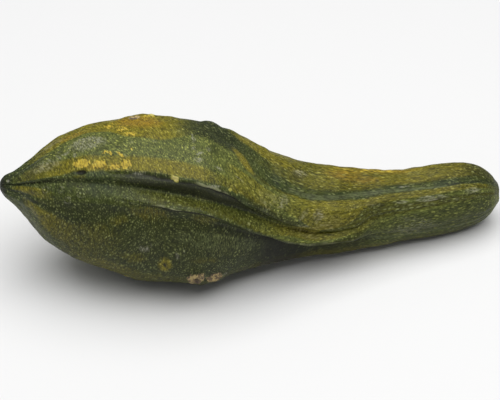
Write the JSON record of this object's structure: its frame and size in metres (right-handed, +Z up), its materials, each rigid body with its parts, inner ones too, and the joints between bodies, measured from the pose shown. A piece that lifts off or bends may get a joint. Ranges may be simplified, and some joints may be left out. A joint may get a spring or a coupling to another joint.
{
  "type": "ornamental gourd",
  "caption": "Winged ornamental gourd lying on its side: a pointed, folded bulb that narrows into a bent, blunt neck with a flap of rind at the shoulder.",
  "frame": {"origin": "centre of the bounding box, at the surface that the gourd lies on", "axes": "+X from the pointed blossom end to the blunt stem end, +Z up, the folded side that the picture shows towards -Y"},
  "size_m": [0.235, 0.0851, 0.0754],
  "materials": {
    "rind": "hard waxy rind, satin, dark green and olive with orange-yellow bands, fine pale flecks and corky warts"
  },
  "bodies": {
    "root": {"gourd": "rind"}
  },
  "joints": []
}
